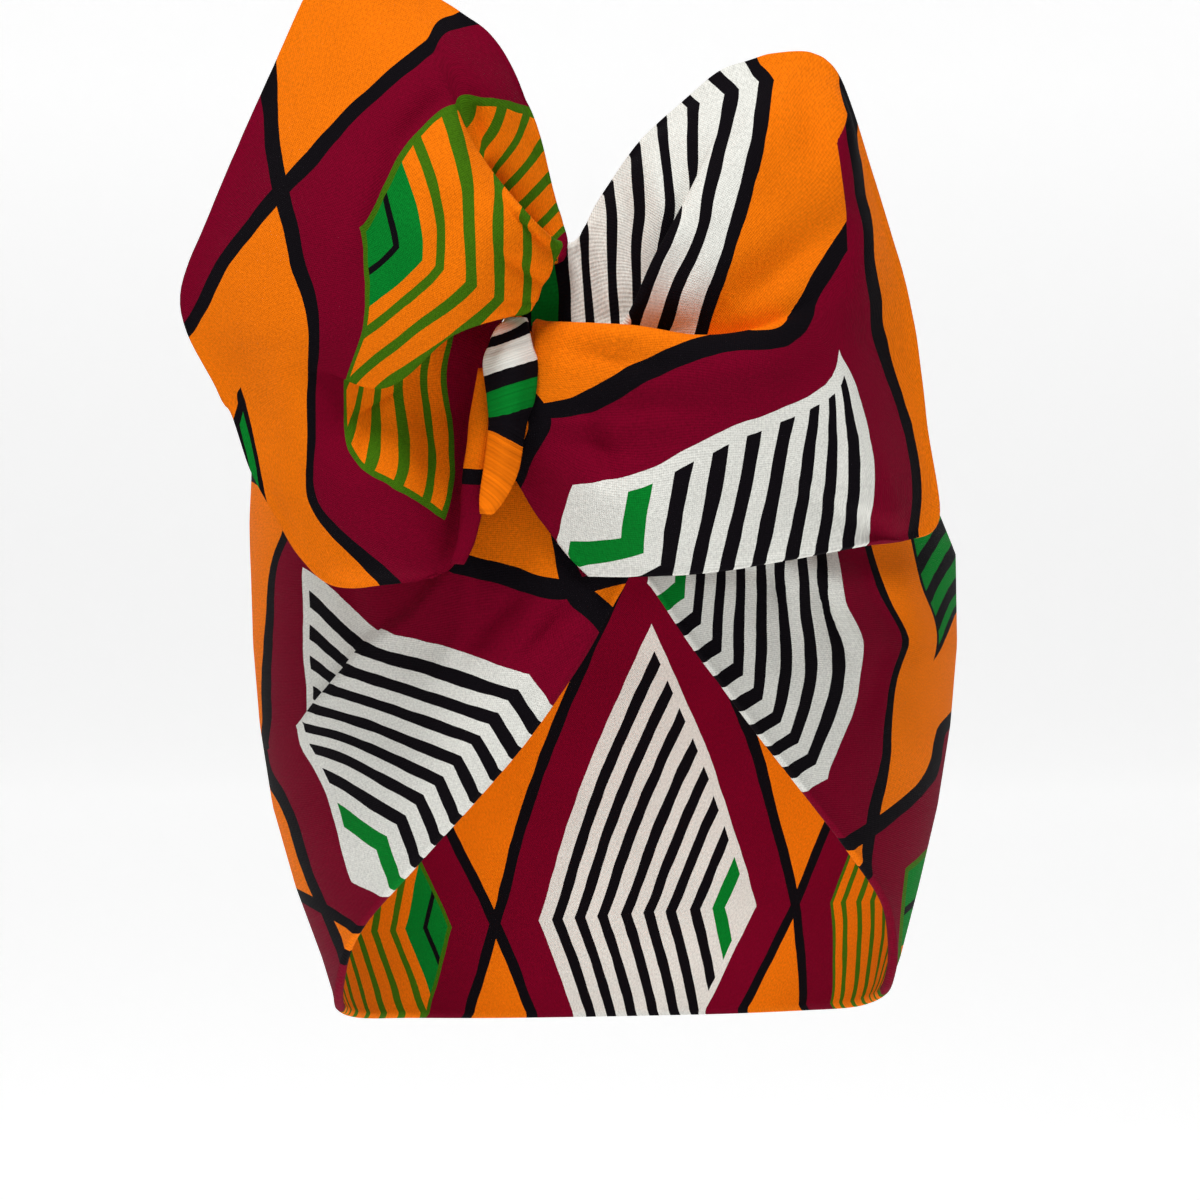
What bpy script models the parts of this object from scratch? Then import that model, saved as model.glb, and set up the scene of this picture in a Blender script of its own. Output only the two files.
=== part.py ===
"""Wired head wrap: one strip of printed cotton round the head, wrung together over the forehead.

The strip goes from the nape over both ears to the forehead, where its hems meet in a V that
stands on its point. Its two ends come out of the knot as two big wired ears.

Frame: millimetres in the tables, metres in the model. X is the viewer's right, -Y is the front,
+Z is up. The origin is the middle of the hollow for the head, a little below the point of the V.
"""
import math

import bpy
import numpy as np

MM = 0.001

CLOTH_THICKNESS = 1.6
BAND_STEPS_UP = 16
BAND_STEPS_PER_STATION = 3
EAR_STEPS_PER_RIB = 3
EAR_PLACES_ALONG = 12
STRAND_STEPS_PER_ROW = 2
STRAND_STEPS_ACROSS = 6

# How a fold of the band swells from its start to its end, and the slopes of a tuck on its two
# sides: gentle where the cloth comes up to the tuck, steep where it drops behind it.
FOLD_SHARE_AT_START = 0.1
TUCK_RISE = 1.2
TUCK_DROP = 8.0

MAROON = (0.20, 0.0, 0.03)
ORANGE = (0.90, 0.26, 0.01)
WHITE = (0.80, 0.80, 0.75)
COTTON_ROUGHNESS = 0.85

# The front view: an eye this far from the origin, this high over the horizon. Its tables give
# where a point is seen on the upright plane through the origin, and how far it stands to the front.
EYE_DISTANCE = 1100.0
EYE_ELEVATION = math.radians(5.0)

# The cloth's own section round the head at some heights: how far its middle stands to the right,
# half its width, and how far it reaches to the front and to the back.
HEAD_SECTIONS = [
    # height, middle, half_width, front, back
    (-125, 0.0, 61.0, 79.0, 72.0),
    (-105, 1.0, 66.5, 84.0, 80.0),
    (-88, 1.5, 72.0, 88.0, 87.0),
    (-70, 0.5, 77.5, 91.5, 92.5),
    (-50, 0.0, 82.5, 95.5, 97.0),
    (-30, 0.0, 85.5, 98.0, 99.5),
    (-10, 0.0, 87.0, 99.5, 101.0),
    (12, -0.5, 87.0, 99.5, 102.0),
    (35, -5.0, 82.0, 96.0, 100.0),
    (58, -5.0, 74.0, 88.0, 93.0),
    (75, -5.0, 66.0, 76.0, 82.0),
]

# The band, a row for each station from its left end over the nape to its right end. Angles run
# round the head from the front, to the viewer's left below zero. off_head lifts the end that
# lies on top where the two ends cross.
BAND_STATIONS = [
    # hem_angle, hem_height, top_angle, top_height, off_head
    (12, 27, -6, 57, 3.0),
    (4, 14, -14, 58, 3.0),
    (-4, -7, -23, 58, 3.0),
    (-15, -30, -34, 57, 2.5),
    (-32, -55, -48, 56, 1.5),
    (-53, -77, -64, 55, 0.5),
    (-76, -98, -82, 53, 0.0),
    (-100, -108, -103, 50, 0.0),
    (-126, -114, -127, 47, 0.0),
    (-153, -118, -153, 45, 0.0),
    (-180, -119, -180, 44, 0.0),
    (-207, -117, -207, 45, 0.0),
    (-234, -112, -233, 47, 0.0),
    (-259, -105, -257, 50, 0.0),
    (-281, -94, -277, 53, 0.0),
    (-299, -72, -295, 55, 0.0),
    (-316, -53, -312, 56, 0.0),
    (-332, -30, -329, 57, 0.0),
    (-345, -6, -343, 57, 0.0),
    (-354, 14, -355, 58, 0.0),
    (-362, 26, -367, 57, 0.0),
]

# Folds that run along the band: the stations where each starts and ends, how far up the strip it
# lies there (0 at the hem, 1 at the top edge), its height and its width as a share of the strip.
# A tuck stands up on its upper side alone, where the cloth below it lies over the cloth above.
BAND_FOLDS = [
    # start, end, share_at_start, share_at_end, height, width, is_tuck
    (0.0, 5.8, 0.30, 0.48, 3.0, 0.16, True),
    (0.0, 6.5, 0.62, 0.80, 2.2, 0.05, False),
    (0.0, 4.5, 0.14, 0.12, 1.2, 0.05, False),
    (15.0, 20.0, 0.62, 0.40, 2.4, 0.05, False),
    (14.5, 20.0, 0.84, 0.62, 2.0, 0.06, False),
    (8.0, 13.0, 0.70, 0.62, 1.4, 0.06, False),
]

# The ears, a row for each rib from the knot to the rim, in the front view: across, up and to the
# front at the root, a quarter, a half and three quarters of the way, and at the rim. A rib that
# steps back over the one before it makes a pleat.
EAR_LEFT_RIBS = [
    # root, near, mid, far, rim
    ((-33, 18, 97.7), (-35, 14, 99), (-37.5, 9.5, 103), (-40, 7, 105), (-43, 6, 107)),
    ((-32, 25, 97.7), (-37.5, 18, 103), (-43, 12.5, 109), (-49, 8, 111), (-55, 4.5, 107)),
    ((-31.5, 31, 97.7), (-41, 23.5, 107), (-51, 17, 115), (-60, 10, 115), (-68, 4, 106)),
    ((-31, 37.5, 97.7), (-44, 32.5, 109), (-55, 25, 117), (-66, 17.5, 117), (-76, 11, 105)),
    ((-30.5, 44, 99), (-45, 40, 108), (-59, 34, 117), (-71, 27.5, 118), (-82.5, 22, 104)),
    ((-30, 49, 99.5), (-46, 49, 107), (-61, 44, 115), (-75, 39, 117), (-88.5, 33, 102)),
    ((-29, 60, 102), (-39, 64, 105), (-57, 50, 112), (-76, 50, 118), (-93, 46, 101)),
    ((-25, 71, 102), (-37.5, 71, 106), (-55, 57.5, 114), (-77, 56, 119), (-95, 49, 100)),
    ((-19, 73, 117), (-38, 67, 126), (-56, 54, 121), (-78, 62, 121), (-97, 53, 100)),
    ((-17, 75, 118), (-35, 75, 130), (-56, 70, 128), (-80, 71, 122), (-106, 74, 97)),
    ((-16, 78, 118.5), (-31, 84.5, 131), (-52.5, 87.5, 130), (-75, 94, 123), (-98.5, 96.5, 98)),
    ((-14, 81, 118.5), (-27, 91, 131), (-46, 102.5, 129), (-65, 116, 122), (-84, 130, 99)),
    ((-13, 84, 118), (-23, 95.5, 130), (-40, 110, 127), (-54, 131, 120), (-69, 160, 100)),
    ((-11, 88, 116), (-19, 95, 127), (-33, 112.5, 124), (-44, 132.5, 119), (-54, 157, 101)),
    ((-12, 84.5, 109), (-22.5, 91, 111), (-32, 109, 117), (-39, 132.5, 117), (-46, 152.5, 101)),
    ((-11, 84.5, 107), (-15, 96, 107), (-25, 115, 112), (-31, 130, 114), (-37, 147, 102)),
    ((-10.5, 85, 106), (-12, 96, 105), (-19, 112.5, 107), (-24, 126, 109), (-28.5, 140.5, 103)),
    ((-10, 86, 105), (-11, 91, 104), (-13, 100, 104), (-16, 113, 104), (-20, 125, 104)),
]

EAR_RIGHT_RIBS = [
    # root, near, mid, far, rim
    ((-22.5, 31, 106), (-18, 23, 104.7), (-14, 17.5, 104.4), (-9, 11, 104.8), (-4, 6, 105.2)),
    ((-22, 34.5, 109), (-11, 25, 111), (-2, 17.5, 113), (4, 11, 113), (9, 6, 112)),
    ((-21.5, 37.5, 111.5), (-7.5, 30, 116), (7, 23, 121), (17.5, 15, 120), (27, 7, 117)),
    ((-21, 40.5, 113), (-4, 36, 118), (14, 30, 123), (31, 21.5, 120), (46, 10, 114)),
    ((-20.5, 43, 114), (-1, 41, 119), (21, 38, 124), (44, 29, 118), (65, 13.5, 106)),
    ((-20.5, 44.5, 114.5), (0, 44, 119.5), (24, 42.5, 124.5), (65, 25, 111), (75, 15, 93)),
    ((-20, 47, 114.8), (2, 48, 120), (28, 49, 125), (64, 40, 112), (83, 20, 83)),
    ((-19, 51, 115), (3, 54, 122), (30, 54.5, 126), (61, 52.5, 112), (80, 43.5, 84)),
    ((-18, 62.5, 113.5), (4, 64, 124), (29, 61, 127), (58, 63, 112), (78, 62.5, 84)),
    ((-18, 69, 109.5), (6, 68, 122), (27.5, 65.5, 124), (58.5, 70.5, 111), (76, 73, 84)),
    ((-18.5, 65, 104), (7, 63, 109), (30, 64, 115), (60, 77.5, 110), (74, 81, 84)),
    ((-19, 64, 101.5), (9, 66, 108), (32.5, 72, 116), (61, 85.5, 109), (71, 91, 86)),
    ((-19, 64.5, 101), (8, 67, 109), (28, 82.5, 119), (59, 97.5, 109), (66, 107, 89)),
    ((-19, 65, 101), (6, 67, 110), (24, 90, 119), (57, 115, 109), (58, 130.5, 94)),
    ((-19, 65.5, 101), (4, 66.5, 110.5), (20, 91, 119), (41, 120, 110), (52, 136.5, 94)),
    ((-19, 66, 101), (2, 66, 111), (14, 87.5, 118), (29, 114, 110), (42.5, 136.5, 94)),
    ((-23.5, 68, 100), (2, 65.5, 104.5), (17, 86.5, 111), (27, 115, 108.5), (37, 135, 95)),
    ((-23.5, 73, 99.5), (-2, 71, 103), (11, 92, 109), (22, 115.5, 107), (29, 132, 96)),
    ((-17.5, 79, 99.5), (-4, 78, 101.5), (6, 97, 106), (14, 114, 104), (20, 124, 97)),
    ((-15, 85, 99), (-6.5, 85, 100), (0, 96, 102), (6, 107, 101), (10, 115, 98)),
    ((-10.5, 89.5, 98.5), (-8, 89.5, 99), (-5, 92, 99), (-2.5, 96.5, 98.5), (0.5, 101, 98)),
]

# The two strands of the knot, a row for each height in the front view: their left and right
# edges, how far their middle stands to the front, and how far the edges fall back from it.
KNOT_STRAP_ROWS = [
    # up, left, right, toward, edge_fall
    (70.1, -22.5, -19.6, 112.8, 0.5),
    (69, -25.5, -19.2, 114.6, 1),
    (67, -27.5, -19, 117.5, 2),
    (63, -29, -18.3, 119.5, 3.5),
    (59, -30, -17.3, 121, 5),
    (51, -29, -18, 122, 5),
    (45, -28.5, -20, 121, 4.5),
    (39, -29, -21, 119, 4),
    (32.5, -30, -22, 116.5, 3),
    (26, -31, -25, 115, 2),
    (21.5, -31, -28.5, 114.5, 1),
]

KNOT_FOLD_ROWS = [
    # up, left, right, toward, edge_fall
    (58, -31.5, -27, 112.5, 1),
    (51, -32.5, -27, 113.4, 2),
    (45, -33.5, -27, 113.9, 2.5),
    (39, -34, -28, 113.8, 2.5),
    (32.5, -35, -29, 112, 2.5),
    (27, -35.5, -30.5, 111, 2),
    (20, -36, -31.5, 110, 1.5),
    (14, -37, -33, 110, 1),
    (9, -38.5, -35.5, 110, 1),
]


def through(rows, places):
    """Read a smooth curve through the rows at the given places, counted in rows."""
    rows = np.asarray(rows, dtype=float)
    slopes = np.gradient(rows, axis=0)
    places = np.asarray(places, dtype=float)
    first = np.clip(places.astype(int), 0, len(rows) - 2)
    part = (places - first).reshape((-1,) + (1,) * (rows.ndim - 1))
    start_weight = 2 * part**3 - 3 * part**2 + 1
    end_weight = 3 * part**2 - 2 * part**3
    start_slope_weight = part**3 - 2 * part**2 + part
    end_slope_weight = part**3 - part**2
    return (start_weight * rows[first] + end_weight * rows[first + 1]
            + start_slope_weight * slopes[first] + end_slope_weight * slopes[first + 1])


def from_front(seen):
    """Turn places in the front view (across, up, to the front) into places in the model."""
    across, up, toward = np.moveaxis(np.asarray(seen, dtype=float), -1, 0)
    level = EYE_DISTANCE * math.cos(EYE_ELEVATION)
    rise = EYE_DISTANCE * math.sin(EYE_ELEVATION)
    share = (level - toward) / (level + up * math.sin(EYE_ELEVATION))
    height = rise + share * (up * math.cos(EYE_ELEVATION) - rise)
    return np.stack([share * across, -toward, height], axis=-1)


def on_head(angle, height, off_head):
    """The place on the cloth's section round the head, at an angle from the front."""
    sections = np.array(HEAD_SECTIONS, dtype=float)
    middle, half_width, front, back = (
        np.interp(height, sections[:, 0], column) for column in sections.T[1:])
    turn = np.radians(angle)
    reach = np.where(np.cos(turn) > 0, front, back)
    return np.stack([
        middle + (half_width + off_head) * np.sin(turn),
        -(reach + off_head) * np.cos(turn),
        height], axis=-1)


def fold_lift(station, share):
    """How far the band's folds lift the cloth at a station and a share of the strip's width."""
    lift = np.zeros(np.broadcast(station, share).shape)
    for start, end, share_at_start, share_at_end, height, width, is_tuck in BAND_FOLDS:
        along = np.clip((station - start) / (end - start), 0, 1)
        fade = np.sin(math.pi * (FOLD_SHARE_AT_START + (1 - FOLD_SHARE_AT_START) * along))
        inside = (station >= start) & (station <= end)
        past = (share - (share_at_start + along * (share_at_end - share_at_start))) / width
        if is_tuck:
            shape = np.where(past < 0, np.exp(past * TUCK_RISE), np.clip(1 - past * TUCK_DROP, 0, 1))
        else:
            shape = np.exp(-past**2)
        lift = lift + np.where(inside, height * fade * shape, 0)
    return lift


def band_grid():
    """Places on the band's middle surface, a row for each step along the strip."""
    stations = np.linspace(0, len(BAND_STATIONS) - 1,
                           (len(BAND_STATIONS) - 1) * BAND_STEPS_PER_STATION + 1)
    rows = through(BAND_STATIONS, stations)
    share = np.linspace(0, 1, BAND_STEPS_UP + 1)[None, :]
    hem_angle, hem_height, top_angle, top_height, off_head = (
        column[:, None] for column in rows.T)
    angle = hem_angle + (top_angle - hem_angle) * share
    height = hem_height + (top_height - hem_height) * share
    lift = off_head + fold_lift(stations[:, None], share)
    return on_head(angle, height, lift)


def ear_grid(ribs):
    """Places on an ear's middle surface, a row for each step from rib to rib."""
    places_across = np.linspace(0, len(ribs) - 1, (len(ribs) - 1) * EAR_STEPS_PER_RIB + 1)
    points_per_rib = len(ribs[0])
    places_along = np.linspace(0, points_per_rib - 1, EAR_PLACES_ALONG)
    fanned = through(ribs, places_across)
    seen = np.stack([through(rib, places_along) for rib in fanned])
    return from_front(seen)


def strand_grid(rows):
    """Places on the middle surface of a strand of the knot, crowned across its width."""
    places = np.linspace(0, len(rows) - 1, (len(rows) - 1) * STRAND_STEPS_PER_ROW + 1)
    up, left, right, toward, edge_fall = (column[:, None] for column in through(rows, places).T)
    side = np.linspace(-1, 1, STRAND_STEPS_ACROSS + 1)[None, :]
    across = (left + right) / 2 + (right - left) / 2 * side
    front = toward - edge_fall * side**2
    return from_front(np.stack([across, up + 0 * side, front], axis=-1))


def wall_from_grid(grid):
    """Give a grid of places the cloth's thickness, as the points and faces of a closed wall."""
    along_rows = np.gradient(grid, axis=0)
    along_columns = np.gradient(grid, axis=1)
    normal = np.cross(along_rows, along_columns)
    normal /= np.linalg.norm(normal, axis=-1, keepdims=True)
    half = normal * CLOTH_THICKNESS / 2
    points = np.concatenate([(grid + half).reshape(-1, 3), (grid - half).reshape(-1, 3)])
    count_rows, count_columns = grid.shape[:2]
    back = count_rows * count_columns

    def corner(row, column):
        return row * count_columns + column

    faces = []
    for row in range(count_rows - 1):
        for column in range(count_columns - 1):
            ring = [corner(row, column), corner(row + 1, column),
                    corner(row + 1, column + 1), corner(row, column + 1)]
            faces.append(ring)
            faces.append([back + place for place in reversed(ring)])
    edge = [corner(row, 0) for row in range(count_rows)]
    edge += [corner(count_rows - 1, column) for column in range(1, count_columns)]
    edge += [corner(row, count_columns - 1) for row in range(count_rows - 2, -1, -1)]
    edge += [corner(0, column) for column in range(count_columns - 2, 0, -1)]
    for here, there in zip(edge, edge[1:] + edge[:1]):
        faces.append([there, here, back + here, back + there])
    return points, faces


def cloth_material(name, colour):
    material = bpy.data.materials.new(name)
    material.use_nodes = True
    shader = material.node_tree.nodes["Principled BSDF"]
    shader.inputs["Base Color"].default_value = (*colour, 1.0)
    shader.inputs["Roughness"].default_value = COTTON_ROUGHNESS
    shader.inputs["Metallic"].default_value = 0.0
    return material


def cloth_piece(name, grid, colour):
    points, faces = wall_from_grid(grid)
    mesh = bpy.data.meshes.new(name)
    mesh.from_pydata([tuple(point * MM) for point in points], [], faces)
    mesh.update()
    mesh.shade_smooth()
    piece = bpy.data.objects.new(name, mesh)
    piece.data.materials.append(cloth_material(name + "_cotton", colour))
    bpy.context.scene.collection.objects.link(piece)
    return piece


def clear_scene():
    for old in list(bpy.data.objects):
        bpy.data.objects.remove(old, do_unlink=True)


def build():
    clear_scene()
    cloth_piece("head_band", band_grid(), MAROON)
    cloth_piece("ear_left", ear_grid(EAR_LEFT_RIBS), ORANGE)
    cloth_piece("ear_right", ear_grid(EAR_RIGHT_RIBS), ORANGE)
    cloth_piece("knot_strap", strand_grid(KNOT_STRAP_ROWS), WHITE)
    cloth_piece("knot_fold", strand_grid(KNOT_FOLD_ROWS), ORANGE)


build()
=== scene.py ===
"""Looks of the wired head wrap: fine cloth walls, the wax print, the studio and the camera."""
import math

import bpy
import numpy as np
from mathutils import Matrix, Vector


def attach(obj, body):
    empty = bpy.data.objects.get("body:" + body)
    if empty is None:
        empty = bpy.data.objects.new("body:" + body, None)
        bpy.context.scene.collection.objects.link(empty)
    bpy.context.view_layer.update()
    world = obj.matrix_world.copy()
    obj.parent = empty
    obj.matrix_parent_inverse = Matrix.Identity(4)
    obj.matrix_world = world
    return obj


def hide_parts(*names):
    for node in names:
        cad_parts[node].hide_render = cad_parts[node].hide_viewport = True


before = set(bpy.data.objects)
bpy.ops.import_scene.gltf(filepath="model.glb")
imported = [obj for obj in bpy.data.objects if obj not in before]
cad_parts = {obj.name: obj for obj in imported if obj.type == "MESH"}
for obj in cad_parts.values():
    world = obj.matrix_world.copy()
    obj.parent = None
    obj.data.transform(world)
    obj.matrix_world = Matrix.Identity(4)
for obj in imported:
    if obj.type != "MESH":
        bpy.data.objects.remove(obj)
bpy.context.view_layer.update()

# The tables are in millimetres and degrees.
MM = 0.001

# The front view that the tables are read in: an eye this far from the origin, this high over the
# horizon, and a photograph of this many pixels with the origin at this pixel.
EYE_DISTANCE = 1100.0
EYE_ELEVATION = math.radians(5.0)
EYE_COS, EYE_SIN = math.cos(EYE_ELEVATION), math.sin(EYE_ELEVATION)
EYE_LEVEL = EYE_DISTANCE * EYE_COS
EYE_RISE = EYE_DISTANCE * EYE_SIN
PHOTO_SIZE = 1200
PIXELS_PER_MM = 4.0
ORIGIN_PIXEL_X = 605
ORIGIN_PIXEL_Y = 600

CLOTH_THICKNESS = 1.5

# The hem's bead: how far each face stands out over it, and where its middle is from the edge.
BEAD_HEIGHT = 0.45
BEAD_WIDTH = 1.375
BEAD_FROM_EDGE = 1.2
EDGE_ROUND = 1.0
EDGE_THINNEST = 0.12

# Steps of the fine walls.
BAND_STEPS_UP = 70
BAND_STEPS_PER_STATION = 14
EAR_STEPS_PER_RIB = 10
EAR_PLACES_ALONG = 90
STRAND_STEPS_PER_ROW = 8
STRAND_STEPS_ACROSS = 24
EDGE_STEPS = (0.25, 0.5, 0.75)

# One cell of the print: a rhombus that stands on its sharp corner.
CELL_SIDE = 120.0
CELL_HALF_ANGLE = math.radians(28.5)
CELL_HEIGHT = CELL_SIDE * math.sin(2 * CELL_HALF_ANGLE)
CELL_WIDTH = 2 * CELL_SIDE * math.sin(CELL_HALF_ANGLE)
CELL_LENGTH = 2 * CELL_SIDE * math.cos(CELL_HALF_ANGLE)
CELL_LINE = 3.6

ORANGE = (0.90, 0.185, 0.0022)
MAROON = (0.185, 0.0004, 0.0165)
BLACK = (0.0048, 0.0035, 0.0052)
WHITE = (0.80, 0.80, 0.745)
GREEN = (0.0015, 0.205, 0.022)
LEAF_GREEN = (0.052, 0.155, 0.0035)

HEAD_SECTIONS = [
    # height, middle, half_width, front, back
    (-125, 0.0, 61.0, 79.0, 72.0),
    (-105, 1.0, 66.5, 84.0, 80.0),
    (-88, 1.5, 72.0, 88.0, 87.0),
    (-70, 0.5, 77.5, 91.5, 92.5),
    (-50, 0.0, 82.5, 95.5, 97.0),
    (-30, 0.0, 85.5, 98.0, 99.5),
    (-10, 0.0, 87.0, 99.5, 101.0),
    (12, -0.5, 87.0, 99.5, 102.0),
    (35, -5.0, 82.0, 96.0, 100.0),
    (58, -5.0, 74.0, 88.0, 93.0),
    (75, -5.0, 66.0, 76.0, 82.0),
]

# The band round the head: its lower hem and its top edge at each station.
BAND_STATIONS = [
    # hem_angle, hem_height, top_angle, top_height, off_head
    (12, 27, -6, 57, 3.0),
    (4, 14, -14, 58, 3.0),
    (-4, -7, -23, 58, 3.0),
    (-15, -30, -34, 57, 2.5),
    (-32, -55, -48, 56, 1.5),
    (-53, -77, -64, 55, 0.5),
    (-76, -98, -82, 53, 0.0),
    (-100, -108, -103, 50, 0.0),
    (-126, -114, -127, 47, 0.0),
    (-153, -118, -153, 45, 0.0),
    (-180, -119, -180, 44, 0.0),
    (-207, -117, -207, 45, 0.0),
    (-234, -112, -233, 47, 0.0),
    (-259, -105, -257, 50, 0.0),
    (-281, -94, -277, 53, 0.0),
    (-299, -72, -295, 55, 0.0),
    (-316, -53, -312, 56, 0.0),
    (-332, -30, -329, 57, 0.0),
    (-345, -6, -343, 57, 0.0),
    (-354, 14, -355, 58, 0.0),
    (-362, 26, -367, 57, 0.0),
]

# Folds along the band: from one station to another, at a share of the strip's width up from
# the lower hem.
BAND_FOLDS = [
    # start, end, share_at_start, share_at_end, height, width
    (0.0, 6.5, 0.62, 0.80, 2.2, 0.05),
    (0.0, 4.5, 0.14, 0.12, 1.2, 0.05),
    (15.0, 20.0, 0.62, 0.40, 2.4, 0.05),
    (14.5, 20.0, 0.84, 0.62, 2.0, 0.06),
    (8.0, 13.0, 0.70, 0.62, 1.4, 0.06),
]

# The ears as ribs from the knot outwards: across, up and to the front in the front view.
EAR_LEFT_RIBS = [
    # root, near, mid, far, rim
    ((-33, 18, 97.7), (-35, 14, 99), (-37.5, 9.5, 103), (-40, 7, 105), (-43, 6, 107)),
    ((-32, 25, 97.7), (-37.5, 18, 103), (-43, 12.5, 109), (-49, 8, 111), (-55, 4.5, 107)),
    ((-31.5, 31, 97.7), (-41, 23.5, 107), (-51, 17, 115), (-60, 10, 115), (-68, 4, 106)),
    ((-31, 37.5, 97.7), (-44, 32.5, 109), (-55, 25, 117), (-66, 17.5, 117), (-76, 11, 105)),
    ((-30.5, 44, 99), (-45, 40, 108), (-59, 34, 117), (-71, 27.5, 118), (-82.5, 22, 104)),
    ((-30, 49, 99.5), (-46, 49, 107), (-61, 44, 115), (-75, 39, 117), (-88.5, 33, 102)),
    ((-29, 60, 102), (-39, 64, 105), (-57, 50, 112), (-76, 50, 118), (-93, 46, 101)),
    ((-25, 71, 102), (-37.5, 71, 106), (-55, 57.5, 114), (-77, 56, 119), (-95, 49, 100)),
    ((-19, 73, 117), (-38, 67, 126), (-56, 54, 121), (-78, 62, 121), (-97, 53, 100)),
    ((-17, 75, 118), (-35, 75, 130), (-56, 70, 128), (-80, 71, 122), (-106, 74, 97)),
    ((-16, 78, 118.5), (-31, 84.5, 131), (-52.5, 87.5, 130), (-75, 94, 123), (-98.5, 96.5, 98)),
    ((-14, 81, 118.5), (-27, 91, 131), (-46, 102.5, 129), (-65, 116, 122), (-84, 130, 99)),
    ((-13, 84, 118), (-23, 95.5, 130), (-40, 110, 127), (-54, 131, 120), (-69, 160, 100)),
    ((-11, 88, 116), (-19, 95, 127), (-33, 112.5, 124), (-44, 132.5, 119), (-54, 157, 101)),
    ((-12, 84.5, 109), (-22.5, 91, 111), (-32, 109, 117), (-39, 132.5, 117), (-46, 152.5, 101)),
    ((-11, 84.5, 107), (-15, 96, 107), (-25, 115, 112), (-31, 130, 114), (-37, 147, 102)),
    ((-10.5, 85, 106), (-12, 96, 105), (-19, 112.5, 107), (-24, 126, 109), (-28.5, 140.5, 103)),
    ((-10, 86, 105), (-11, 91, 104), (-13, 100, 104), (-16, 113, 104), (-20, 125, 104)),
]

EAR_RIGHT_RIBS = [
    # root, near, mid, far, rim
    ((-22.5, 31, 106), (-18, 23, 104.7), (-14, 17.5, 104.4), (-9, 11, 104.8), (-4, 6, 105.2)),
    ((-22, 34.5, 109), (-11, 25, 111), (-2, 17.5, 113), (4, 11, 113), (9, 6, 112)),
    ((-21.5, 37.5, 111.5), (-7.5, 30, 116), (7, 23, 121), (17.5, 15, 120), (27, 7, 117)),
    ((-21, 40.5, 113), (-4, 36, 118), (14, 30, 123), (31, 21.5, 120), (46, 10, 114)),
    ((-20.5, 43, 114), (-1, 41, 119), (21, 38, 124), (44, 29, 118), (65, 13.5, 106)),
    ((-20.5, 44.5, 114.5), (0, 44, 119.5), (24, 42.5, 124.5), (65, 25, 111), (75, 15, 93)),
    ((-20, 47, 114.8), (2, 48, 120), (28, 49, 125), (64, 40, 112), (83, 20, 83)),
    ((-19, 51, 115), (3, 54, 122), (30, 54.5, 126), (61, 52.5, 112), (80, 43.5, 84)),
    ((-18, 62.5, 113.5), (4, 64, 124), (29, 61, 127), (58, 63, 112), (78, 62.5, 84)),
    ((-18, 69, 109.5), (6, 68, 122), (27.5, 65.5, 124), (58.5, 70.5, 111), (76, 73, 84)),
    ((-18.5, 65, 104), (7, 63, 109), (30, 64, 115), (60, 77.5, 110), (74, 81, 84)),
    ((-19, 64, 101.5), (9, 66, 108), (32.5, 72, 116), (61, 85.5, 109), (71, 91, 86)),
    ((-19, 64.5, 101), (8, 67, 109), (28, 82.5, 119), (59, 97.5, 109), (66, 107, 89)),
    ((-19, 65, 101), (6, 67, 110), (24, 90, 119), (57, 115, 109), (58, 130.5, 94)),
    ((-19, 65.5, 101), (4, 66.5, 110.5), (20, 91, 119), (41, 120, 110), (52, 136.5, 94)),
    ((-19, 66, 101), (2, 66, 111), (14, 87.5, 118), (29, 114, 110), (42.5, 136.5, 94)),
    ((-23.5, 68, 100), (2, 65.5, 104.5), (17, 86.5, 111), (27, 115, 108.5), (37, 135, 95)),
    ((-23.5, 73, 99.5), (-2, 71, 103), (11, 92, 109), (22, 115.5, 107), (29, 132, 96)),
    ((-17.5, 79, 99.5), (-4, 78, 101.5), (6, 97, 106), (14, 114, 104), (20, 124, 97)),
    ((-15, 85, 99), (-6.5, 85, 100), (0, 96, 102), (6, 107, 101), (10, 115, 98)),
    ((-10.5, 89.5, 98.5), (-8, 89.5, 99), (-5, 92, 99), (-2.5, 96.5, 98.5), (0.5, 101, 98)),
]

# The knot's two strands, in the front view: their sides, and how far the sides fall back.
KNOT_STRAP_ROWS = [
    # up, left, right, toward, edge_fall
    (70.3, -25, -19.6, 112.8, 0.5),
    (69, -25.5, -19.2, 114.6, 1),
    (67, -27.5, -19, 117.5, 2),
    (63, -29, -18.3, 119.5, 3.5),
    (59, -30, -17.3, 121, 5),
    (51, -29, -18, 122, 5),
    (45, -28.5, -20, 121, 4.5),
    (39, -29, -21, 119, 4),
    (32.5, -30, -22, 116.5, 3),
    (26, -31, -25, 115, 2),
    (21.5, -31, -28.5, 114.5, 1),
]

KNOT_FOLD_ROWS = [
    # up, left, right, toward, edge_fall
    (58, -31.5, -27, 112.5, 1),
    (51, -32.5, -27, 113.4, 2),
    (45, -33.5, -27, 113.9, 2.5),
    (39, -34, -28, 113.8, 2.5),
    (32.5, -35, -29, 112, 2.5),
    (27, -35.5, -30.5, 111, 2),
    (20, -36, -31.5, 110, 1.5),
    (14, -37, -33, 110, 1),
    (9, -38.5, -35.5, 110, 1),
]

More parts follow.
